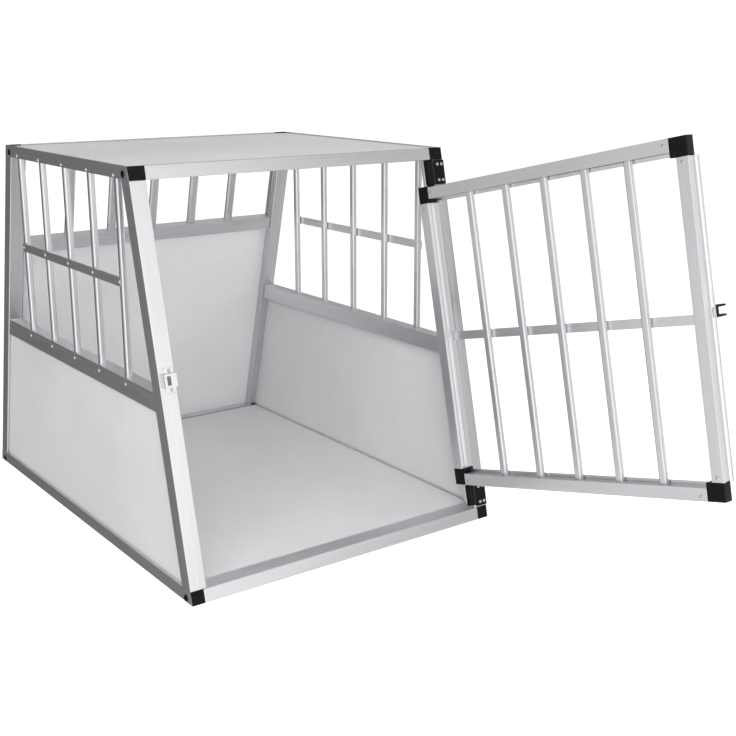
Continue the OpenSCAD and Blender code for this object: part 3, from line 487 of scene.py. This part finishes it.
placeCopies(screwModel, "latch_screws", "door", doorOut)
placeCopies(boltModel, "corner_bolts", "crate")
for model in (rivetModel, screwModel, boltModel):
    bpy.data.objects.remove(model)
print("rivets and screws placed")

# the small inner pieces keep their CAD shape
for node, material in {"frame_screws": zinc, "post_keys": nylon, "rail_keys": nylon, "hinge_pins": zinc,
                       "hinge_bushes": nylon, "latch_bolt": stainless}.items():
    mesh = frame["nodes"][node].data
    mesh.materials.clear()
    mesh.materials.append(material)
print("inner pieces finished")


# floor
floorValues = {"light": "#f4f4f4", "dark": "#f2f2f2", "halfWide": 14.0, "middle": (0, 0.4, -0.0002),
               "patchMm": 33.333, "rough": 0.9, "glow": 0.5}
bpy.ops.object.select_all(action="DESELECT")
bpy.ops.mesh.primitive_plane_add(size=2 * floorValues["halfWide"], location=floorValues["middle"])
floor = bpy.context.object
floor.name = "studio_floor"
bpy.ops.object.mode_set(mode="EDIT")
bpy.ops.mesh.subdivide(number_cuts=3)
bpy.ops.object.mode_set(mode="OBJECT")
floorMaterial, floorTree = newMaterial("pale matte floor")
floorPlace = addNode(floorTree, "ShaderNodeTexCoord")
floorNoise = addNode(floorTree, "ShaderNodeTexNoise", inputs={
    "Vector": floorPlace.outputs["Object"], "Scale": 1000 / floorValues["patchMm"], "Detail": 3.0})
floorTone = setRamp(addNode(floorTree, "ShaderNodeValToRGB", inputs={"Fac": floorNoise.outputs["Fac"]}),
                    [(noiseLow, hexColor(floorValues["dark"])), (noiseHigh, hexColor(floorValues["light"]))])
# the floor is lifted to the studio's white where it is seen, without lighting the crate from below
floorRays = addNode(floorTree, "ShaderNodeLightPath")
floorGlow = addNode(floorTree, "ShaderNodeMath", {"operation": "MULTIPLY"}, {
    0: floorRays.outputs["Is Camera Ray"], 1: floorValues["glow"]})
closeMaterial(floorTree, addNode(floorTree, "ShaderNodeBsdfPrincipled", inputs={
    "Base Color": floorTone.outputs["Color"], "Roughness": floorValues["rough"],
    "Emission Color": (1, 1, 1, 1), "Emission Strength": floorGlow.outputs["Value"]}))
floor.data.materials.append(floorMaterial)
floor.visible_glossy = False     # the metal mirrors the studio walls below, not the bare floor
print("floor laid")


# walls of the studio as the metal mirrors them, round from the left side by way of the front:
# each pair is a place in the turn and its brightness, above the horizon and below it
wallTones = [(0.0, 0.9), (0.11, 1.0), (0.13, 1.9), (0.19, 1.9), (0.21, 1.2), (0.25, 1.35), (0.3, 1.5),
             (0.3167, 2.4), (0.333, 1.05), (0.347, 0.28), (0.361, 0.1), (0.375, 0.28), (0.4168, 1.4),
             (0.5, 0.85), (0.66, 0.4), (0.74, 0.08), (0.8, 0.06), (0.825, 0.2), (0.845, 0.18),
             (0.86, 0.24), (0.885, 0.56), (0.9275, 0.85), (1.0, 0.9)]
lowTones = [(0.0, 1.0), (0.11, 1.1), (0.13, 1.9), (0.19, 1.9), (0.21, 1.2), (0.25, 0.8), (0.3, 0.55),
            (0.333, 0.45), (0.347, 0.4), (0.361, 0.3), (0.375, 0.45), (0.4168, 1.6), (0.5, 0.95),
            (0.66, 0.45), (0.74, 0.09), (0.8, 0.07), (0.825, 0.2), (0.845, 0.18), (0.86, 0.28),
            (0.885, 0.68), (0.9275, 1.0), (1.0, 1.0)]
# each fade runs between two heights of the mirrored direction: low walls to high ones, walls to ceiling
studioValues = {"wallFade": (-0.16, -0.06), "ceilingFade": (0.25, 0.6), "ceiling": 0.6,
                "ambient": 0.66}      # ambient is the even light on everything that does not mirror
world = bpy.data.worlds.new("studio")
bpy.context.scene.world = world
world.use_nodes = True
sky = world.node_tree
sky.nodes.clear()
direction = addNode(sky, "ShaderNodeTexCoord")
around = addNode(sky, "ShaderNodeTexGradient", {"gradient_type": "RADIAL"},
                 {"Vector": direction.outputs["Generated"]})
split = addNode(sky, "ShaderNodeSeparateXYZ", inputs={"Vector": direction.outputs["Generated"]})


def wallRamp(tones):
    return setRamp(addNode(sky, "ShaderNodeValToRGB", inputs={"Fac": around.outputs["Fac"]}),
                   [(place, (tone, tone, tone, 1)) for place, tone in tones])


def fade(limits):
    return addNode(sky, "ShaderNodeMapRange", {"interpolation_type": "SMOOTHSTEP"}, {
        "Value": split.outputs["Z"], "From Min": limits[0], "From Max": limits[1],
        "To Min": 0.0, "To Max": 1.0})


def grey(tone):
    return (tone, tone, tone, 1)


walls = addNode(sky, "ShaderNodeMix", {"data_type": "RGBA"}, {
    "Factor": fade(studioValues["wallFade"]).outputs["Result"],
    6: wallRamp(lowTones).outputs["Color"], 7: wallRamp(wallTones).outputs["Color"]})
ceiling = addNode(sky, "ShaderNodeMix", {"data_type": "RGBA"}, {
    "Factor": fade(studioValues["ceilingFade"]).outputs["Result"],
    6: walls.outputs[2], 7: grey(studioValues["ceiling"])})
rays = addNode(sky, "ShaderNodeLightPath")
mirrored = addNode(sky, "ShaderNodeMix", {"data_type": "RGBA"}, {
    "Factor": rays.outputs["Is Glossy Ray"], 6: grey(studioValues["ambient"]), 7: ceiling.outputs[2]})
seen = addNode(sky, "ShaderNodeMix", {"data_type": "RGBA"}, {
    "Factor": rays.outputs["Is Camera Ray"], 6: mirrored.outputs[2], 7: grey(1.0)})
glow = addNode(sky, "ShaderNodeBackground", inputs={"Color": seen.outputs[2], "Strength": 1.0})
addNode(sky, "ShaderNodeOutputWorld", inputs={"Surface": glow.outputs["Background"]})


# lights: the metal mirrors the walls only, so no light shows in it
lightValues = {
    "key light": {"place": (-2.2, -1.8, 3.0), "target": (0, 0.4, 0.3), "size": (2.4, 2.4), "watts": 50},
    "fill light": {"place": (2.6, -2.0, 2.0), "target": (0, 0.3, 0.3), "size": (2.0, 2.0), "watts": 22},
    "low light": {"place": (-0.6, -1.8, 0.9), "target": (0, 0.8, 0.2), "size": (1.2, 1.0), "watts": 32}}
for name, values in lightValues.items():
    data = bpy.data.lights.new(name, "AREA")
    data.shape = "RECTANGLE"
    data.size, data.size_y = values["size"]
    data.energy = values["watts"]
    lamp = bpy.data.objects.new(name, data)
    lamp.location = values["place"]
    aim = Vector(values["target"]) - Vector(values["place"])
    lamp.rotation_euler = aim.to_track_quat("-Z", "Y").to_euler()
    lamp.visible_glossy = False
    bpy.context.scene.collection.objects.link(lamp)
print("lights set")

cameraValues = {"lens": 56.82, "sensor": 36.0, "farClip": 60, "place": (-1.1244, -1.5887, 0.8832),
                "azimuth": 36.36, "down": 15.28}
cameraData = bpy.data.cameras.new("studio camera")
cameraData.lens = cameraValues["lens"]
cameraData.sensor_width = cameraValues["sensor"]
cameraData.clip_end = cameraValues["farClip"]
camera = bpy.data.objects.new("studio camera", cameraData)
camera.location = cameraValues["place"]
camera.rotation_euler = (math.radians(90 - cameraValues["down"]), 0, math.radians(-cameraValues["azimuth"]))
bpy.context.scene.collection.objects.link(camera)
bpy.context.scene.camera = camera
bpy.context.scene.view_settings.view_transform = "Standard"
bpy.context.scene.view_settings.look = "None"
print("studio ready")
